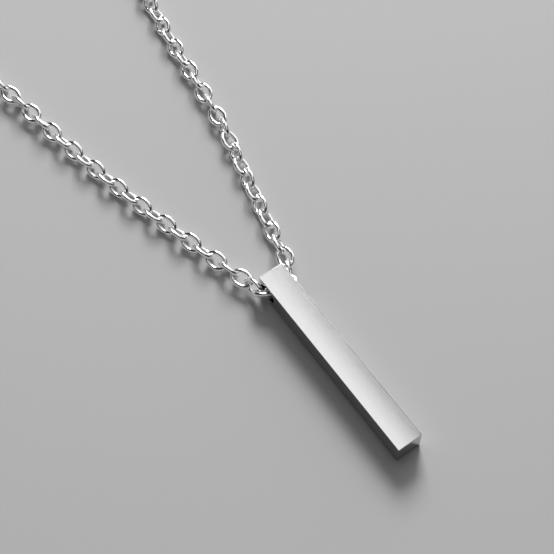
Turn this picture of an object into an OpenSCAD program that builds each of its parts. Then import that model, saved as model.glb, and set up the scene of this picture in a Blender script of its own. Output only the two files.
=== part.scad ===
// Bar pendant on a cable chain, lying on its back with the chain laid out as a closed loop.
// Millimetres, +Z up. The origin is on the bar's back, under the middle of the chain hole.
// The bar points to -Y, and the chain leaves the hole at -X and +X and runs to +Y.

/* [Bar] */
// Length of the bar
bar_len = 40; // [30:0.5:60]
// Side of the bar's square section
bar_side = 5; // [4.9:0.1:8]
// Bevel along the bar's edges
bar_bevel = 0.12; // [0.05:0.01:0.3]

/* [Chain hole] */
// Room between a link and the hole, on each side
hole_play = 0.25; // [0.22:0.01:0.35]
// Metal left between the hole and the bar's top end
hole_wall = 0.45; // [0.4:0.05:0.8]

/* [Chain] */
// Outer length of a link
link_len = 4.65; // [4.5:0.05:5]
// Outer width of a link
link_wide = 3.4; // [3.3:0.05:3.6]
// Diameter of the links' wire
wire_d = 0.75; // [0.68:0.01:0.78]
// Gap between two linked wires when the chain is pulled straight
link_gap = 0.13; // [0.12:0.01:0.16]
// Radius of the wide end of the loop
loop_r = 39; // [36:1:46]
// Distance from the bar's hole to the middle of the loop's wide end
loop_reach = 184; // [176:1:220]

/* [Clasp] */
// Length of the clasp's barrel
barrel_len = 8; // [6:0.5:12]
// Length of the cone at each end of the barrel
cone_len = 1.6; // [1:0.1:2]
// Diameter of the barrel where it meets an eye
neck_d = 2; // [1.6:0.1:2.6]
// Outer diameter of the eye at each end
eye_d = 3.4; // [3.2:0.1:4]
// Diameter of the eyes' wire
eye_wire = 0.9; // [0.8:0.05:1]

/* [Hidden] */
$fn = 24;

// Sizes of one link, measured on the middle line of its wire
half_axis = (link_len - wire_d) / 2;
half_across = (link_wide - wire_d) / 2;
hook_step = wire_d + link_gap;
pitch = 2 * half_axis - hook_step;

// Places on the bar
hole_d = link_wide + 2 * hole_play;
hole_z = bar_side / 2;
bar_top = hole_d / 2 + hole_wall;

// The link inside the hole, which lies a little off the hole's middle
core_x = -0.83;
core_roll = 105;
// The links at the two mouths of the hole and the links hooked into those, beside the bar,
// each as [heading, rise, roll, slack]. A heading of 0 is along +Y and 90 along +X.
// A roll of 0 is a link lying flat, and 90 is a link on its edge.
mouth_left = [-58, 2.8, 48.2, 0.81];
beside_left = [-8.2, -12.5, 108.8, 0.49];
mouth_right = [90.5, -10.8, -14.6, 0.57];
beside_right = [27.9, 6.7, 76.5, 0];
beside_ease = 0.09;

// The two strands' routes over the floor, as chosen by hand, from the bar to the loop's wide end
route_left = [[-7.3, 16.5], [-10.4, 28.4], [-13.1, 40.3], [-15.4, 52.2], [-17.4, 64.2],
    [-25.3, 106], [-33.8, 146]];
route_right = [[7.3, 16], [9.7, 26], [11.8, 35], [13.1, 43.5], [14.6, 55], [15.8, 62],
    [23.8, 106], [33, 146]];
// How the chain leans and twists: [links from the bar, degrees from lying flat]
lean_left = [[0, -14], [1, -14], [3, -34], [8, -43], [12, -43], [15, -36], [18, -20],
    [20, -5], [34, 0]];
lean_right = [[0, -16], [1, -24], [3, -44], [5, -52], [8, -58], [10, -74], [12, -100],
    [14, -112], [18, -130], [22, -138], [38, -180]];
route_steps = 16;
settle_links = 3;
floor_lift = 0.06;

// Places at the clasp, whose middle line lies as high as the links beside it
clasp_y = loop_reach + loop_r;
clasp_z = link_wide / 2 + floor_lift;
eye_play = 0.22;
eye_r = (eye_d - eye_wire) / 2;
eye_x = barrel_len / 2 + eye_r;
seam_wide = 0.3;
seam_deep = 0.15;

function unit(v) = v / norm(v);
function heading_to(heading, rise) =
    [sin(heading) * cos(rise), cos(heading) * cos(rise), sin(rise)];
// The direction across a link that runs along d, at a roll
function across(d, roll) =
    let (left = unit(cross([0, 0, 1], d)))
    left * cos(roll) + cross(d, left) * sin(roll);
// A link as [middle, direction, direction across]
function link_at(middle, d, roll) = [middle, d, across(d, roll)];
// The link that hooks into the outer end of another, by its [heading, rise, roll, slack]
function hooked(last, pose) =
    let (
        d = heading_to(pose[0], pose[1]),
        w = across(d, pose[2]),
        normal = unit(cross(last[2], w)),
        pull = normal * (last[1] + d) < 0 ? -normal : normal
    )
    [last[0] + last[1] * half_axis - pull * (hook_step + pose[3]) + d * half_axis, d, w];

// Height of the chain's middle line above the floor at a lean
function rest_z(lean) =
    wire_d / 2 + half_across * max(abs(cos(lean)), abs(sin(lean))) + floor_lift;

// The five links at the bar, from the middle of the hole outwards
core_link = link_at([core_x, 0, hole_z], [-1, 0, 0], core_roll);
mouth_link_left = hooked(core_link, mouth_left);
mouth_link_right = hooked([core_link[0], -core_link[1], core_link[2]], mouth_right);
beside_link_left = hooked(mouth_link_left, beside_left);
beside_link_right = hooked(mouth_link_right, beside_right);

// A smooth line through points, in even steps between each two
function smooth(points) =
    let (
        last = len(points) - 1,
        far = concat([2 * points[0] - points[1]], points, [2 * points[last] - points[last - 1]])
    )
    concat(
        [for (i = [1 : last], k = [0 : route_steps - 1])
            let (t = k / route_steps, a = far[i - 1], b = far[i], c = far[i + 1], d = far[i + 2])
            (2 * b + (c - a) * t + (2 * a - 5 * b + 4 * c - d) * t * t
                + (3 * b - a - 3 * c + d) * t * t * t) / 2],
        [points[last]]
    );
function added(list, i = 0, sum = 0) =
    i >= len(list) ? [] : concat([sum + list[i]], added(list, i + 1, sum + list[i]));
function lengths(line) =
    added([for (i = [0 : len(line) - 1]) i == 0 ? 0 : norm(line[i] - line[i - 1])]);
function along(line, marks, s) =
    [for (axis = [0, 1]) lookup(s, [for (i = [0 : len(line) - 1]) [marks[i], line[i][axis]]])];

// The links of one strand, from the joint at the bar to the joint at the clasp.
// The last link stands on its edge, so that it can pass through the clasp's flat eye.
function strand(start, points, finish, leans) =
    let (
        line = smooth(concat([[start[0], start[1]]], points, [[finish[0], finish[1]]])),
        marks = lengths(line),
        total = marks[len(marks) - 1],
        count = ceil(total / pitch),
        step = total / count,
        last_lean = leans[len(leans) - 1],
        end_lean = last_lean[1] + ((count - last_lean[1] / 90) % 2 == 0 ? 0 : 90),
        lean_rows = concat([for (i = [0 : len(leans) - 2]) leans[i]], [[last_lean[0], end_lean]]),
        joints = [for (k = [0 : count])
            let (
                low = rest_z(lookup(k, lean_rows)),
                near = max(0, 1 - k / settle_links),
                place = along(line, marks, k * step)
            )
            [place[0], place[1], k == 0 ? start[2] : low + max(0, start[2] - low) * near * near]]
    )
    [for (k = [0 : count - 1])
        link_at((joints[k] + joints[k + 1]) / 2, unit(joints[k + 1] - joints[k]),
            lookup(k + 0.5, lean_rows) + 90 * (k % 2))];

// Where a strand starts, half a hook inside the wire of the link beside the bar
function outer_joint(link) = link[0] + link[1] * (half_axis - hook_step / 2 - beside_ease);

// Where the strands end: the last links' wires hang inside the clasp's eyes
finish_x = eye_x + eye_r - (eye_wire + wire_d) / 2 - eye_play + hook_step / 2;
finish_left = [-finish_x, clasp_y, clasp_z];
finish_right = [finish_x, clasp_y, clasp_z];

// The wide end of the loop, from the side of a strand to the clasp
function wide_end(side) =
    [for (turn = [0, 30, 60]) [side * loop_r * cos(turn), loop_reach + loop_r * sin(turn)]];

module link() {
    straight = half_axis - half_across;
    for (end = [0, 180])
        rotate([0, 0, end]) {
            translate([straight, 0, 0]) rotate([0, 0, -90]) rotate_extrude(angle = 180)
                translate([half_across, 0]) circle(d = wire_d);
            translate([-straight, half_across, 0]) rotate([0, 90, 0])
                cylinder(d = wire_d, h = 2 * straight);
        }
}

module placed(at) {
    n = cross(at[1], at[2]);
    multmatrix([for (i = [0 : 2]) [at[1][i], at[2][i], n[i], at[0][i]]]) link();
}

module bar() {
    color("silver")
    difference() {
        translate([-bar_side / 2, bar_top - bar_len, 0]) cube([bar_side, bar_len, bar_side]);
        translate([0, 0, hole_z]) rotate([0, 90, 0])
            cylinder(d = hole_d, h = bar_side + 2, center = true);
        bar_edge_cuts();
    }
}

// Square rods, turned on edge, that take the bevels off the bar's twelve edges
module bar_edge_cuts() {
    cut = bar_bevel * sqrt(2);
    middle_y = bar_top - bar_len / 2;
    for (x = [-1, 1], z = [0, 1])
        translate([x * bar_side / 2, middle_y, z * bar_side]) rotate([0, 45, 0])
            cube([cut, bar_len + 2, cut], center = true);
    for (y = [0, 1], z = [0, 1])
        translate([0, bar_top - y * bar_len, z * bar_side]) rotate([45, 0, 0])
            cube([bar_side + 2, cut, cut], center = true);
    for (x = [-1, 1], y = [0, 1])
        translate([x * bar_side / 2, bar_top - y * bar_len, bar_side / 2]) rotate([0, 0, 45])
            cube([cut, cut, bar_side + 2], center = true);
}

module chain_left() {
    color("gainsboro") {
        placed(core_link);
        placed(mouth_link_left);
        placed(beside_link_left);
        for (at = strand(outer_joint(beside_link_left), concat(route_left, wide_end(-1)),
            finish_left, lean_left)) placed(at);
    }
}

module chain_right() {
    color("gainsboro") {
        placed(mouth_link_right);
        placed(beside_link_right);
        for (at = strand(outer_joint(beside_link_right), concat(route_right, wide_end(1)),
            finish_right, lean_right)) placed(at);
    }
}

// A closed barrel clasp: a round body with a cone and a flat eye at each end
module clasp() {
    color("silver")
    translate([0, clasp_y, clasp_z])
    difference() {
        union() {
            rotate([0, 90, 0]) cylinder(d = link_wide, h = barrel_len - 2 * cone_len, center = true);
            for (end = [0, 180])
                rotate([0, 0, end]) {
                    translate([barrel_len / 2 - cone_len, 0, 0]) rotate([0, 90, 0])
                        cylinder(d1 = link_wide, d2 = neck_d, h = cone_len);
                    translate([eye_x, 0, 0]) rotate_extrude() translate([eye_r, 0])
                        circle(d = eye_wire);
                }
        }
        rotate([0, 90, 0]) seam();
    }
}

// The groove around the barrel where its two halves screw together
module seam() {
    difference() {
        cylinder(d = link_wide + 2, h = seam_wide, center = true);
        cylinder(d = link_wide - 2 * seam_deep, h = seam_wide + 2, center = true);
    }
}

bar();
chain_left();
chain_right();
clasp();
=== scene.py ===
import math

import bmesh
import bpy
import numpy as np
from bpy.props import FloatProperty, FloatVectorProperty, IntProperty, PointerProperty
from mathutils import Matrix, Vector


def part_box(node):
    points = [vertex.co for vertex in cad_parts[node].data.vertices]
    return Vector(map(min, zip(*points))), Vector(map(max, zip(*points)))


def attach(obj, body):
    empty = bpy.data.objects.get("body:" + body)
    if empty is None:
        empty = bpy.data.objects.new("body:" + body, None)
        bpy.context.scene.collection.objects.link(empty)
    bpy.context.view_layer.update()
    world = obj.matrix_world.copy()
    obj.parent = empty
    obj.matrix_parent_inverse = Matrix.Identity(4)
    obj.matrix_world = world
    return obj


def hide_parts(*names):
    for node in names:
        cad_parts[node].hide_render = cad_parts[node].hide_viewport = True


bl_info = {
    "name": "Bar Pendant",
    "version": (1, 0, 0),
    "blender": (4, 5, 0),
    "location": "3D View > Sidebar > Pendant",
    "description": "Polished bar pendant on a cable chain, lying on a pale floor",
    "category": "Object",
}

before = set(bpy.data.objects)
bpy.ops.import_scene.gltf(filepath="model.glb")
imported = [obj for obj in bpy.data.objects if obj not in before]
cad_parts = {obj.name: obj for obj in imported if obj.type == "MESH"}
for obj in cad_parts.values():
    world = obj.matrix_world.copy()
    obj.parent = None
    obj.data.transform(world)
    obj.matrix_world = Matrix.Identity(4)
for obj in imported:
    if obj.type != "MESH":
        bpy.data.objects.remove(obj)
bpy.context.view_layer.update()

# Lengths below are in metres, and MM turns a millimetre into one
MM = 0.001
BODY = "root"


def hole_radius(middle_z):
    """Radius of the bar's hole: the distance from its middle line to the CAD's nearest corner."""
    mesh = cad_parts["bar"].data
    points = np.zeros(len(mesh.vertices) * 3)
    mesh.vertices.foreach_get("co", points)
    points = points.reshape(-1, 3)
    return float(np.hypot(points[:, 1], points[:, 2] - middle_z).min())


BAR_LOW, BAR_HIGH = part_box("bar")
BAR_MIDDLE = (BAR_LOW + BAR_HIGH) / 2
BAR_SIZE = BAR_HIGH - BAR_LOW
HOLE_R = hole_radius(BAR_MIDDLE.z)
CLASP_LOW, CLASP_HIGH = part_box("clasp")
CLASP_MIDDLE = (CLASP_LOW + CLASP_HIGH) / 2
CLASP_SIZE = CLASP_HIGH - CLASP_LOW

# Where the photograph was taken from: the camera's azimuth and elevation, its distance from the
# point of the floor in the middle of the picture, and the angle that the picture's side takes in
VIEW_AZIMUTH = math.radians(-35.9)
VIEW_ELEVATION = math.radians(63)
VIEW_DISTANCE = 260 * MM
VIEW_AIM = Vector((1.60 * MM, 2.68 * MM, 0))
VIEW_ANGLE = math.radians(21.8)

# How often each noise repeats in a metre, along X, Y and Z
POLISH_CLOUDS = (420, 420, 420)
POLISH_DENTS = (900, 900, 900)
BAR_HAIRLINES = (9000, 260, 9000)
BAR_GRAIN = (4200, 2400, 4200)
BAR_CLOUDS = (500, 160, 500)
FLOOR_GRAIN = (700, 700, 700)
FINE_DETAIL = 3.0
# How much a noise changes the roughness
POLISH_SPREAD = 0.08
SATIN_SPREAD = 0.1
BAR_CLOUD_SPREAD = 0.04
FLOOR_SPREAD = 0.1
FLOOR_ROUGHNESS = 0.7
# Strength and depth of the dents in the polish and of the lines in the satin front
DENTS = (0.12, 0.03 * MM)
SATIN_LINES = (0.16, 0.01 * MM)


def length_property(name, description, default, low, high):
    return FloatProperty(name=name, description=description, default=default, min=low, max=high,
                         unit="LENGTH", precision=5)


def share_property(name, description, default):
    return FloatProperty(name=name, description=description, default=default, min=0, max=1,
                         subtype="FACTOR")


def colour_property(name, description, default):
    return FloatVectorProperty(name=name, description=description, default=default, size=3,
                               min=0, max=1, subtype="COLOR")


def power_property(name, description, default):
    return FloatProperty(name=name, description=description, default=default, min=0,
                         unit="POWER")


class BarSettings(bpy.types.PropertyGroup):
    edge_round: length_property(
        "Edge rounding", "How far the polished edges are rounded", 0.06 * MM, 0.02 * MM, 0.4 * MM)
    crown: length_property(
        "Crown", "How far the front and back bulge from edge to middle", 0.03 * MM, 0, 0.2 * MM)
    front_colour: colour_property("Front", "Colour of the satin front", (0.83, 0.83, 0.84))
    # Painted shade: the sides are the same steel as the front, but their colour is darkened so that
    # they look shaded
    side_colour_painted_shade: colour_property("Sides", "Colour of the mirror sides", (0.45, 0.45, 0.46))
    front_roughness: share_property("Front roughness", "Roughness of the satin front", 0.21)
    side_roughness: share_property("Side roughness", "Roughness of the mirror sides", 0.06)


class ChainSettings(bpy.types.PropertyGroup):
    roundness: share_property(
        "End roundness", "Radius of a link's ends, as a share of half its width", 0.83)
    wire_sides: IntProperty(
        name="Wire sides", description="Sides of the wire of the links near the bar",
        default=14, min=6, max=24)
    far_wire_sides: IntProperty(
        name="Far wire sides", description="Sides of the wire of the other links",
        default=10, min=6, max=24)
    fine_reach: length_property(
        "Fine reach", "Links this near the bar's hole get the finer wire", 84 * MM, 0, 300 * MM)
    polish_proud: length_property(
        "Proud", "How far the finer wire's surface stands outside the CAD wire's", 0.03 * MM,
        0, 0.03 * MM)
    colour: colour_property("Colour", "Colour of the links' steel", (0.95, 0.95, 0.96))
    roughness: share_property("Roughness", "Roughness of the links' polished wire", 0.09)


class ClaspSettings(bpy.types.PropertyGroup):
    cone_len: length_property(
        "Cone length", "Length of the cone at each end of the barrel", 1.6 * MM, MM, 2.5 * MM)
    neck_d: length_property(
        "Neck", "Diameter of the barrel where it meets an eye", 2 * MM, MM, 3 * MM)
    eye_d: length_property("Eye", "Outer diameter of an eye", 3.4 * MM, 3 * MM, 5 * MM)
    eye_wire: length_property("Eye wire", "Diameter of the eyes' wire", 0.9 * MM, 0.5 * MM, MM)
    seam_wide: length_property(
        "Seam width", "Width of the groove around the middle", 0.3 * MM, 0.1 * MM, MM)
    seam_deep: length_property(
        "Seam depth", "Depth of the groove around the middle", 0.15 * MM, 0.05 * MM, 0.5 * MM)
    colour: colour_property("Colour", "Colour of the clasp's steel", (0.85, 0.85, 0.86))
    roughness: share_property("Roughness", "Roughness of the clasp's polish", 0.1)


class StageSettings(bpy.types.PropertyGroup):
    floor_colour: colour_property("Floor", "Colour of the pale floor", (0.46, 0.46, 0.46))
    key_power: power_property("Key light", "Power of the light that casts the shadows", 24.9)
    top_power: power_property("Top light", "Power of the light that the front mirrors", 0.317)
    side_power: power_property("Side light", "Power of the wide light on the right", 19.8)
    walls: share_property("Walls", "Brightness of the room at the floor's horizon", 0.55)
    ceiling: share_property("Ceiling", "Brightness of the room overhead", 0.035)


class Link:
    """An output in a shader, or a number, that takes part in Python expressions."""

    def __init__(self, shader, source):
        self.shader = shader
        self.source = source

    def maths(self, operation, *values, clamp=False):
        settings = {"operation": operation, "use_clamp": clamp}
        return self.shader.node("ShaderNodeMath", settings, dict(enumerate(values)))

    def __add__(self, other):
        return self.maths("ADD", self, other)

    def __sub__(self, other):
        return self.maths("SUBTRACT", self, other)

    def __rsub__(self, other):
        return self.maths("SUBTRACT", other, self)

    def __mul__(self, other):
        return self.maths("MULTIPLY", self, other)

    def __truediv__(self, other):
        return self.maths("DIVIDE", self, other)

    __radd__ = __add__

    def clamped(self):
        return self.maths("ADD", self, 0, clamp=True)


class Shader:
    """The nodes of a material or a world, around the one node that gives its look."""

    def __init__(self, owner, look, coordinates):
        owner.use_nodes = True
        self.owner = owner
        self.tree = owner.node_tree
        self.look = self.tree.nodes[look]
        self.place = self.node("ShaderNodeTexCoord", {}, {}, coordinates)

    def fill(self, node, values):
        """Sets sockets to numbers or joins them to links."""
        for key, value in values.items():
            socket = node.inputs[key]
            if isinstance(value, Link):
                self.tree.links.new(value.source, socket)
            else:
                socket.default_value = value

    def node(self, kind, settings, values, output=0):
        """Adds a node: its settings are set first, then its sockets. Returns one of its outputs."""
        node = self.tree.nodes.new(kind)
        for key, value in settings.items():
            setattr(node, key, value)
        self.fill(node, values)
        return Link(self, node.outputs[output])

    def axis(self, name):
        """The coordinate along X, Y or Z."""
        return self.node("ShaderNodeSeparateXYZ", {}, {"Vector": self.place}, name)

    def mixed(self, share, first, second):
        """A colour between two others."""
        return self.node("ShaderNodeMix", {"data_type": "RGBA"},
                         {0: share, 6: (*first, 1), 7: (*second, 1)}, 2)

    def noise(self, per_metre, detail=2.0):
        """Cloudy noise between 0 and 1, finer along the axes with more repeats per metre."""
        stretched = self.node("ShaderNodeVectorMath", {"operation": "MULTIPLY"},
                              {0: self.place, 1: per_metre})
        return self.node("ShaderNodeTexNoise", {}, {"Vector": stretched, "Scale": 1.0,
                                                    "Detail": detail})

    def relief(self, height, strength, distance):
        """A Bump node's normal, from a height between 0 and 1."""
        return self.node("ShaderNodeBump", {}, {"Height": height, "Strength": strength,
                                                "Distance": distance})


def surface_shader(name):
    """The shader of a new material, with places measured on the object."""
    return Shader(bpy.data.materials.new(name), "Principled BSDF", "Object")


def polished_steel(name, colour, roughness):
    """Tumbled steel: a barely uneven mirror with soft clouds in its polish."""
    shader = surface_shader(name)
    clouds = shader.noise(POLISH_CLOUDS)
    shader.fill(shader.look, {
        "Base Color": (*colour, 1),
        "Metallic": 1.0,
        "Roughness": (clouds - 0.5) * POLISH_SPREAD + roughness,
        "Normal": shader.relief(shader.noise(POLISH_DENTS), *DENTS),
    })
    return shader.owner


def bar_steel(settings):
    """Mirror sides in a darker colour that is painted shade, and a bright satin front with a fine
    lengthwise grain.
    """
    shader = surface_shader("bar_steel")
    # The sides end where the edges' rounding starts, and the front begins where it ends
    sides_top = BAR_HIGH.z - settings.edge_round - settings.crown
    front = ((shader.axis("Z") - sides_top) / settings.edge_round).clamped()
    hairlines = shader.noise(BAR_HAIRLINES, FINE_DETAIL)
    grain = shader.noise(BAR_GRAIN, FINE_DETAIL)
    clouds = shader.noise(BAR_CLOUDS)
    smooth = settings.side_roughness
    satin = settings.front_roughness - smooth
    shader.fill(shader.look, {
        # Painted shade: all but the front and its rounding take the darkened side colour
        "Base Color": shader.mixed(front, settings.side_colour_painted_shade, settings.front_colour),
        "Metallic": 1.0,
        "Roughness": front * (satin + (hairlines + grain - 1) * SATIN_SPREAD)
                     + (clouds - 0.5) * BAR_CLOUD_SPREAD + smooth,
        "Normal": shader.relief((hairlines + grain) * front, *SATIN_LINES),
    })
    return shader.owner


def pale_floor(settings):
    """A plain matt floor."""
    shader = surface_shader("pale_floor")
    grain = shader.noise(FLOOR_GRAIN)
    shader.fill(shader.look, {
        "Base Color": (*settings.floor_colour, 1),
        "Roughness": FLOOR_ROUGHNESS + grain * FLOOR_SPREAD,
    })
    return shader.owner


def nothing_selected():
    bpy.ops.object.select_all(action="DESELECT")


def only(piece):
    """Makes a piece the only one selected, and the active one."""
    nothing_selected()
    piece.select_set(True)
    bpy.context.view_layer.objects.active = piece


def named(name):
    """Names the primitive that was just added."""
    piece = bpy.context.object
    piece.name = piece.data.name = name
    return piece


def pick(piece, kind, test):
    """In edit mode, selects only the verts, edges or faces that pass a test."""
    bpy.ops.mesh.select_all(action="DESELECT")
    mesh = bmesh.from_edit_mesh(piece.data)
    for item in getattr(mesh, kind):
        if test(item):
            item.select_set(True)
    mesh.select_flush_mode()
    bmesh.update_edit_mesh(piece.data)


def apply_place(piece):
    """Puts the object at the origin, unturned, with its place in its mesh."""
    only(piece)
    bpy.ops.object.transform_apply(location=True, rotation=True, scale=True)


def modified(piece, kind, **settings):
    """Adds a modifier and applies it."""
    only(piece)
    modifier = piece.modifiers.new(kind.title(), kind)
    for key, value in settings.items():
        setattr(modifier, key, value)
    bpy.ops.object.modifier_apply(modifier=modifier.name)


def finished(piece, material, slot, *nodes):
    """Gives a piece its material and lets it stand for its CAD nodes."""
    piece.data.materials.clear()
    piece.data.materials.append(material)
    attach(piece, BODY)
    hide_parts(*nodes)


class PENDANT_OT_bar(bpy.types.Operator):
    """Models the square bar with its chain hole"""
    bl_idname = "pendant.bar"
    bl_label = "Bar"

    # Lengthwise cuts that let the crown curve, as shares of half the bar's width
    CROWN_CUTS = (-0.9, -0.6, -0.3, 0, 0.3, 0.6, 0.9)
    HOLE_SIDES = 64
    ROUND_SEGMENTS = 3
    ROUND_ANGLE = math.radians(60)
    NORMAL_WEIGHT = 80

    def execute(self, context):
        settings = context.scene.pendant_bar
        nothing_selected()
        bpy.ops.mesh.primitive_cube_add(size=1, location=BAR_MIDDLE)
        bar = named("bar_body")
        bpy.ops.object.mode_set(mode="EDIT")
        bpy.ops.transform.resize(value=BAR_SIZE)
        for share in self.CROWN_CUTS:
            bpy.ops.mesh.select_all(action="SELECT")
            bpy.ops.mesh.bisect(
                plane_co=BAR_MIDDLE + Vector((share * BAR_SIZE.x / 2, 0, 0)), plane_no=(1, 0, 0))
        bpy.ops.object.mode_set(mode="OBJECT")
        apply_place(bar)
        self.crown(bar, settings.crown)
        self.drill(bar)
        modified(bar, "BEVEL", width=settings.edge_round, segments=self.ROUND_SEGMENTS,
                 limit_method="ANGLE", angle_limit=self.ROUND_ANGLE)
        bpy.ops.object.shade_smooth()
        modified(bar, "WEIGHTED_NORMAL", weight=self.NORMAL_WEIGHT)
        finished(bar, bar_steel(settings), "bar_metal", "bar")
        return {"FINISHED"}

    def crown(self, bar, height):
        """Lowers the front's and the back's long edges, so that the middle stands proud."""
        for vertex in bar.data.vertices:
            across = (vertex.co.x - BAR_MIDDLE.x) / (BAR_SIZE.x / 2)
            side = math.copysign(1, vertex.co.z - BAR_MIDDLE.z)
            vertex.co.z -= side * height * across ** 2

    def drill(self, bar):
        """Cuts the chain hole through the bar's sides."""
        nothing_selected()
        bpy.ops.mesh.primitive_cylinder_add(
            vertices=self.HOLE_SIDES, radius=HOLE_R, depth=2 * BAR_SIZE.x,
            location=(BAR_MIDDLE.x, 0, BAR_MIDDLE.z), rotation=(0, math.pi / 2, 0))
        drill = named("drill")
        apply_place(drill)
        modified(bar, "BOOLEAN", operation="DIFFERENCE", object=drill, solver="EXACT")
        bpy.data.objects.remove(drill)


class PENDANT_OT_chain(bpy.types.Operator):
    """Models one oval link and lays a copy of it on every link of the two strands"""
    bl_idname = "pendant.chain"
    bl_label = "Chain"

    STRANDS = ("chain_left", "chain_right")
    # Steps around each end and along each half arm of a link
    END_STEPS = 9
    ARM_STEPS = 5
    FAR_END_STEPS = 7
    FAR_ARM_STEPS = 3
    # Corners nearer than this are one corner, in the CAD's links and in the modelled one
    CAD_WELD = 0.002 * MM
    LINK_WELD = 0.001 * MM

    def execute(self, context):
        settings = context.scene.pendant_chain
        strands = {node: self.laid_links(node) for node in self.STRANDS}
        sizes = np.mean([size for links in strands.values() for size, _ in links], axis=0)
        near = self.link("link_near", sizes + 2 * settings.polish_proud, settings,
                         settings.wire_sides, self.END_STEPS, self.ARM_STEPS)
        far = self.link("link_far", sizes, settings, settings.far_wire_sides,
                        self.FAR_END_STEPS, self.FAR_ARM_STEPS)
        steel = polished_steel("chain_steel", settings.colour, settings.roughness)
        for node, links in strands.items():
            copies = []
            for _, place in links:
                model = near if place.translation.length < settings.fine_reach else far
                copy = bpy.data.objects.new("link", model.data.copy())
                context.scene.collection.objects.link(copy)
                copy.data.transform(place)
                copies.append(copy)
            strand = self.joined(copies, node + "_links")
            finished(strand, steel, "chain_metal", node)
        for model in (near, far):
            bpy.data.objects.remove(model)
        return {"FINISHED"}

    def laid_links(self, node):
        """The size and place of each link of a strand, from a copy of the CAD's loose links."""
        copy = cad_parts[node].copy()
        copy.data = copy.data.copy()
        bpy.context.scene.collection.objects.link(copy)
        only(copy)
        bpy.ops.object.mode_set(mode="EDIT")
        bpy.ops.mesh.select_all(action="SELECT")
        bpy.ops.mesh.remove_doubles(threshold=self.CAD_WELD)
        bpy.ops.mesh.separate(type="LOOSE")
        bpy.ops.object.mode_set(mode="OBJECT")
        loose = list(bpy.context.selected_objects)
        links = [self.measured(part.data) for part in loose]
        for part in loose:
            bpy.data.objects.remove(part)
        return links

    def measured(self, mesh):
        """A link's length, width and wire, and the matrix that lays a link along X on it."""
        mesh.calc_loop_triangles()
        points = np.array([v.co for v in mesh.vertices])
        corners = points[np.array([t.vertices for t in mesh.loop_triangles])]
        areas = np.array([t.area for t in mesh.loop_triangles])[:, None]
        middles = corners.mean(axis=1)
        middle = (middles * areas).sum(axis=0) / areas.sum()
        spread = (middles - middle).T @ ((middles - middle) * areas)
        _, across, along = np.linalg.eigh(spread)[1].T
        axes = np.array([along, across, np.cross(along, across)])
        reach = (points - middle) @ axes.T
        low, high = reach.min(axis=0), reach.max(axis=0)
        place = Matrix(axes.T.tolist()).to_4x4()
        place.translation = Vector(middle + ((high + low) / 2) @ axes)
        return high - low, place

    def link(self, name, sizes, settings, wire_sides, end_steps, arm_steps):
        """One link about the origin: the wire's section, spun along two ends and two arms.

        The ends are tight arcs and the arms wide ones, which meet them smoothly.
        """
        length, width, wire = (float(size) for size in sizes)
        half_axis = (length - wire) / 2
        half_across = (width - wire) / 2
        end_r = settings.roundness * half_across
        arm_r = ((half_across ** 2 + (half_axis - end_r) ** 2 - end_r ** 2)
                 / (2 * (half_across - end_r)))
        end_turn = math.atan2(arm_r - half_across, half_axis - end_r)
        arm_turn = math.pi / 2 - end_turn
        nothing_selected()
        bpy.ops.mesh.primitive_circle_add(
            vertices=wire_sides, radius=wire / 2, location=(0, half_across, 0),
            rotation=(0, math.pi / 2, 0))
        link = named(name)
        bpy.ops.object.mode_set(mode="EDIT")
        bpy.ops.mesh.select_all(action="SELECT")
        low_arm = (0, arm_r - half_across, 0)
        high_arm = (0, half_across - arm_r, 0)
        for centre, turn, steps in (
            (high_arm, arm_turn, arm_steps),
            ((half_axis - end_r, 0, 0), 2 * end_turn, end_steps),
            (low_arm, 2 * arm_turn, 2 * arm_steps),
            ((end_r - half_axis, 0, 0), 2 * end_turn, end_steps),
            (high_arm, arm_turn, arm_steps),
        ):
            bpy.ops.mesh.spin(steps=steps, angle=turn, center=centre, axis=(0, 0, 1))
        bpy.ops.mesh.select_all(action="SELECT")
        bpy.ops.mesh.remove_doubles(threshold=self.LINK_WELD)
        bpy.ops.mesh.normals_make_consistent(inside=False)
        bpy.ops.object.mode_set(mode="OBJECT")
        apply_place(link)
        bpy.ops.object.shade_smooth()
        return link

    def joined(self, copies, name):
        """One piece from many copies."""
        nothing_selected()
        for copy in copies:
            copy.select_set(True)
        bpy.context.view_layer.objects.active = copies[0]
        bpy.ops.object.join()
        return named(name)


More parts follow.
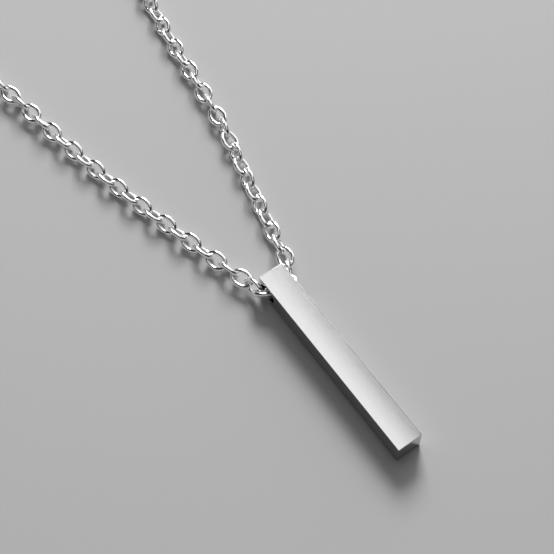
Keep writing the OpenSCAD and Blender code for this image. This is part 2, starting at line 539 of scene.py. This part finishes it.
class PENDANT_OT_clasp(bpy.types.Operator):
    """Models the closed barrel clasp with a flat eye at each end"""
    bl_idname = "pendant.clasp"
    bl_label = "Clasp"

    BARREL_SIDES = 48
    BEVEL_WIDE = 0.12 * MM
    BEVEL_SEGMENTS = 3
    BEVEL_ANGLE = math.radians(25)
    SMOOTH_ANGLE = math.radians(30)
    EYE_STEPS = 40
    EYE_WIRE_SIDES = 16

    def execute(self, context):
        settings = context.scene.pendant_clasp
        barrel = self.barrel(settings)
        eyes = [self.eye(settings, side) for side in (-1, 1)]
        for eye in eyes:
            modified(barrel, "BOOLEAN", operation="UNION", object=eye, solver="EXACT")
            bpy.data.objects.remove(eye)
        only(barrel)
        bpy.ops.object.shade_smooth_by_angle(angle=self.SMOOTH_ANGLE)
        steel = polished_steel("clasp_steel", settings.colour, settings.roughness)
        finished(barrel, steel, "clasp_metal", "clasp")
        return {"FINISHED"}

    def barrel(self, settings):
        """The round body: two halves with a groove between, each drawn in to a cone."""
        full_r = CLASP_SIZE.y / 2
        groove_r = full_r - settings.seam_deep
        half_len = CLASP_SIZE.x / 2 - settings.eye_d + settings.eye_wire / 2
        shoulder = half_len - settings.cone_len
        nothing_selected()
        bpy.ops.mesh.primitive_cylinder_add(
            vertices=self.BARREL_SIDES, radius=groove_r, depth=settings.seam_wide,
            location=CLASP_MIDDLE, rotation=(0, math.pi / 2, 0))
        barrel = named("barrel_clasp")
        apply_place(barrel)
        bpy.ops.object.mode_set(mode="EDIT")
        for side in (-1, 1):
            pick(barrel, "faces", lambda face: face.calc_center_median().x * side > 0
                 and face.normal.x * side > 0.9)
            # Out of the groove, along the body and in to the neck
            for travel, scale in ((0, full_r / groove_r), (shoulder - settings.seam_wide / 2, 1),
                                  (settings.cone_len, settings.neck_d / 2 / full_r)):
                bpy.ops.mesh.extrude_region_move(
                    TRANSFORM_OT_translate={"value": (side * travel, 0, 0)})
                bpy.ops.transform.resize(value=(1, scale, scale))
        bpy.ops.object.mode_set(mode="OBJECT")
        modified(barrel, "BEVEL", width=self.BEVEL_WIDE, segments=self.BEVEL_SEGMENTS,
                 limit_method="ANGLE", angle_limit=self.BEVEL_ANGLE)
        return barrel

    def eye(self, settings, side):
        """A flat ring at one end of the barrel."""
        nothing_selected()
        ring_r = (settings.eye_d - settings.eye_wire) / 2
        reach = CLASP_SIZE.x / 2 - settings.eye_d / 2
        bpy.ops.mesh.primitive_torus_add(
            location=CLASP_MIDDLE + Vector((side * reach, 0, 0)),
            major_segments=self.EYE_STEPS, minor_segments=self.EYE_WIRE_SIDES,
            major_radius=ring_r, minor_radius=settings.eye_wire / 2)
        eye = named("eye")
        apply_place(eye)
        return eye


class PENDANT_OT_stage(bpy.types.Operator):
    """Adds the pale floor, the soft lights and the camera at the photograph's angle"""
    bl_idname = "pendant.stage"
    bl_label = "Stage"

    FLOOR_SIDE = 4.0
    # Where the walls' glow ends, from 0 at the horizon to 1 overhead
    WALL_TOP = 0.6
    # The light panels: name, place, sides, setting of the power, and whether the panel is level
    LIGHTS = (
        ("key_light", (0.72, 0.99, 0.84), (0.6, 0.6), "key_power", False),
        ("top_light", (0.0275, 0.05, 0.48), (0.255, 0.38), "top_power", True),
        ("side_light", (1.9, 1.1, 1.3), (2.2, 2.2), "side_power", False),
    )

    def execute(self, context):
        settings = context.scene.pendant_stage
        self.floor(settings)
        self.world(context, settings)
        for name, place, sides, power, level in self.LIGHTS:
            self.soft_light(context, name, place, sides, getattr(settings, power), level)
        # This view transform keeps highlights white and shaded sides dark
        context.scene.view_settings.view_transform = "Standard"
        self.camera(context)
        return {"FINISHED"}

    def floor(self, settings):
        """The floor that the pendant lies on."""
        nothing_selected()
        bpy.ops.mesh.primitive_plane_add(size=self.FLOOR_SIDE, location=(0, 0, BAR_LOW.z))
        floor = named("pale_floor")
        apply_place(floor)
        floor.data.materials.append(pale_floor(settings))

    def world(self, context, settings):
        """A room with pale walls, which fade into a dark ceiling."""
        room = Shader(bpy.data.worlds.new("soft_room"), "Background", "Generated")
        wall = (1 - room.axis("Z") / self.WALL_TOP).clamped()
        # A smooth step, so that no edge of the glow shows in the steel
        glow = wall * wall * (3 - wall * 2)
        room.fill(room.look, {
            "Color": (1, 1, 1, 1),
            "Strength": glow * (settings.walls - settings.ceiling) + settings.ceiling,
        })
        context.scene.world = room.owner

    def soft_light(self, context, name, place, sides, power, level):
        """A light panel at a place, either level or turned to face the bar."""
        light = bpy.data.lights.new(name, "AREA")
        light.shape = "RECTANGLE"
        light.size, light.size_y = sides
        light.energy = power
        lamp = bpy.data.objects.new(name, light)
        lamp.location = place
        if not level:
            towards_bar = BAR_MIDDLE - Vector(place)
            lamp.rotation_euler = towards_bar.to_track_quat("-Z", "Y").to_euler()
        context.scene.collection.objects.link(lamp)

    def camera(self, context):
        """The camera where the photograph was taken, aimed at the middle of the picture."""
        level = math.cos(VIEW_ELEVATION)
        back = Vector((math.sin(VIEW_AZIMUTH) * level, -math.cos(VIEW_AZIMUTH) * level,
                       math.sin(VIEW_ELEVATION)))
        lens = bpy.data.cameras.new("camera")
        lens.angle = VIEW_ANGLE
        lens.clip_start = MM
        camera = bpy.data.objects.new("camera", lens)
        camera.location = VIEW_AIM + back * VIEW_DISTANCE
        camera.rotation_euler = (-back).to_track_quat("-Z", "Y").to_euler()
        context.scene.collection.objects.link(camera)
        context.scene.camera = camera


class PENDANT_PT_panel(bpy.types.Panel):
    """Lists the pendant's pieces and their sizes"""
    bl_idname = "PENDANT_PT_panel"
    bl_label = "Bar Pendant"
    bl_space_type = "VIEW_3D"
    bl_region_type = "UI"
    bl_category = "Pendant"

    def draw(self, context):
        for name, group, operator in SECTIONS:
            box = self.layout.box()
            box.label(text=name)
            settings = getattr(context.scene, group)
            for field in settings.bl_rna.properties:
                if field.identifier not in ("rna_type", "name"):
                    box.prop(settings, field.identifier)
            box.operator(operator)


# Title, settings and operator of each part of the panel, in the order in which they are built
SECTIONS = (
    ("Stage", "pendant_stage", "pendant.stage"),
    ("Bar", "pendant_bar", "pendant.bar"),
    ("Chain", "pendant_chain", "pendant.chain"),
    ("Clasp", "pendant_clasp", "pendant.clasp"),
)
GROUPS = {
    "pendant_bar": BarSettings,
    "pendant_chain": ChainSettings,
    "pendant_clasp": ClaspSettings,
    "pendant_stage": StageSettings,
}
CLASSES = (*GROUPS.values(), PENDANT_OT_bar, PENDANT_OT_chain, PENDANT_OT_clasp,
           PENDANT_OT_stage, PENDANT_PT_panel)


def register():
    for kind in CLASSES:
        bpy.utils.register_class(kind)
    for name, group in GROUPS.items():
        setattr(bpy.types.Scene, name, PointerProperty(type=group))


def unregister():
    for name in GROUPS:
        delattr(bpy.types.Scene, name)
    for kind in reversed(CLASSES):
        bpy.utils.unregister_class(kind)


def main():
    register()
    bpy.ops.pendant.stage()
    bpy.ops.pendant.bar()
    bpy.ops.pendant.chain()
    bpy.ops.pendant.clasp()


if __name__ == "__main__":
    main()
